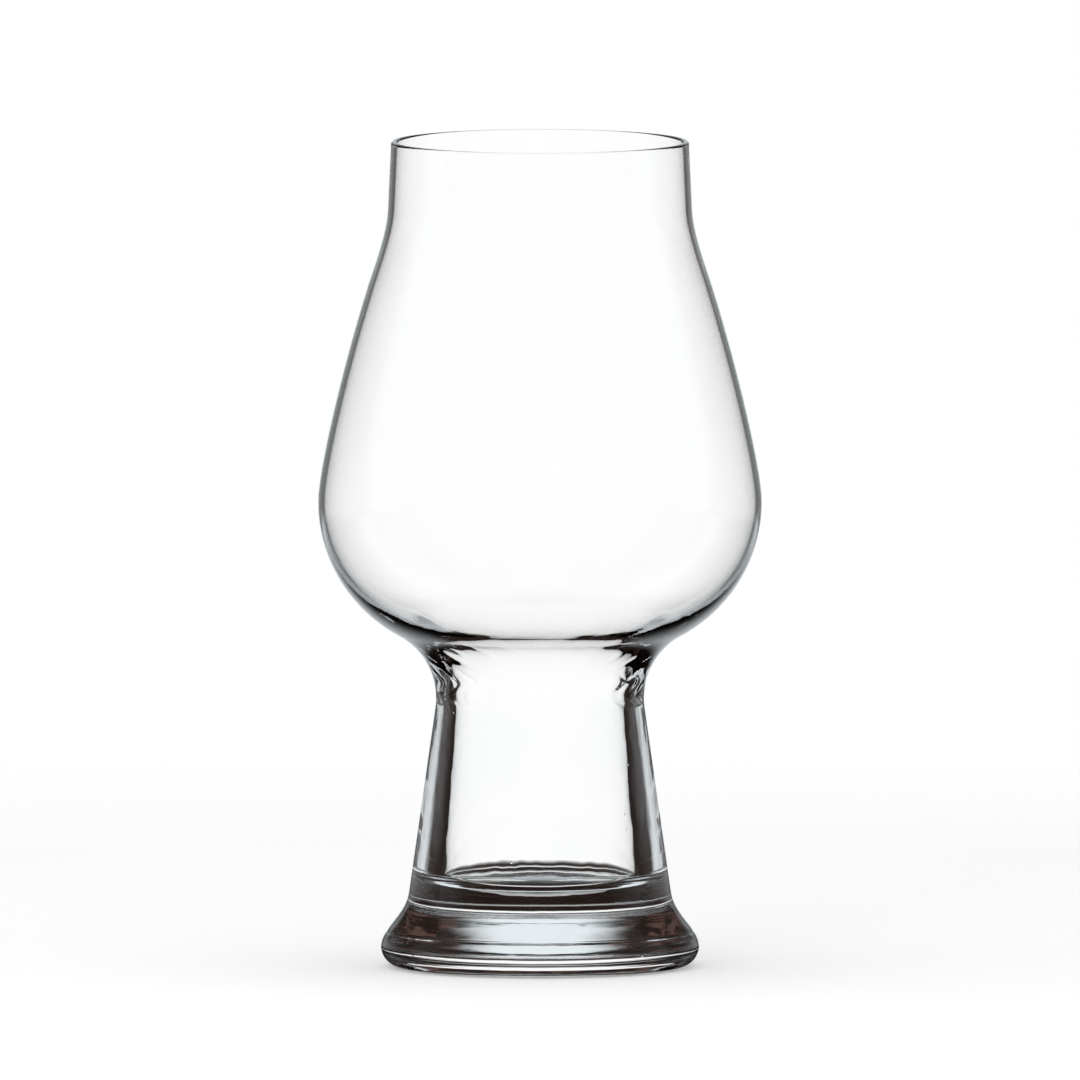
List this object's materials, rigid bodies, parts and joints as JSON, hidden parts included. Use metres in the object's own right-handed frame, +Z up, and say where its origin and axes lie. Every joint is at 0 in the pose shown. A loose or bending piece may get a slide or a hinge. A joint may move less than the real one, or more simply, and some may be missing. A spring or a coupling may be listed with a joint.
{
  "type": "tulip beer glass",
  "caption": "Clear footed tulip beer glass: thin round bowl narrowing to a straight lip, on a waisted hollow stem and a solid flared foot.",
  "frame": {"origin": "on the glass's axis, in the plane of the ring that touches the table", "axes": "+Z up along the axis of revolution, from the foot to the rim; X and Y are alike"},
  "size_m": [0.0934, 0.0934, 0.174],
  "materials": {
    "clear_glass": "clear, fire polished"
  },
  "bodies": {
    "root": {"bowl": "clear_glass", "stem": "clear_glass", "foot": "clear_glass"}
  },
  "joints": []
}
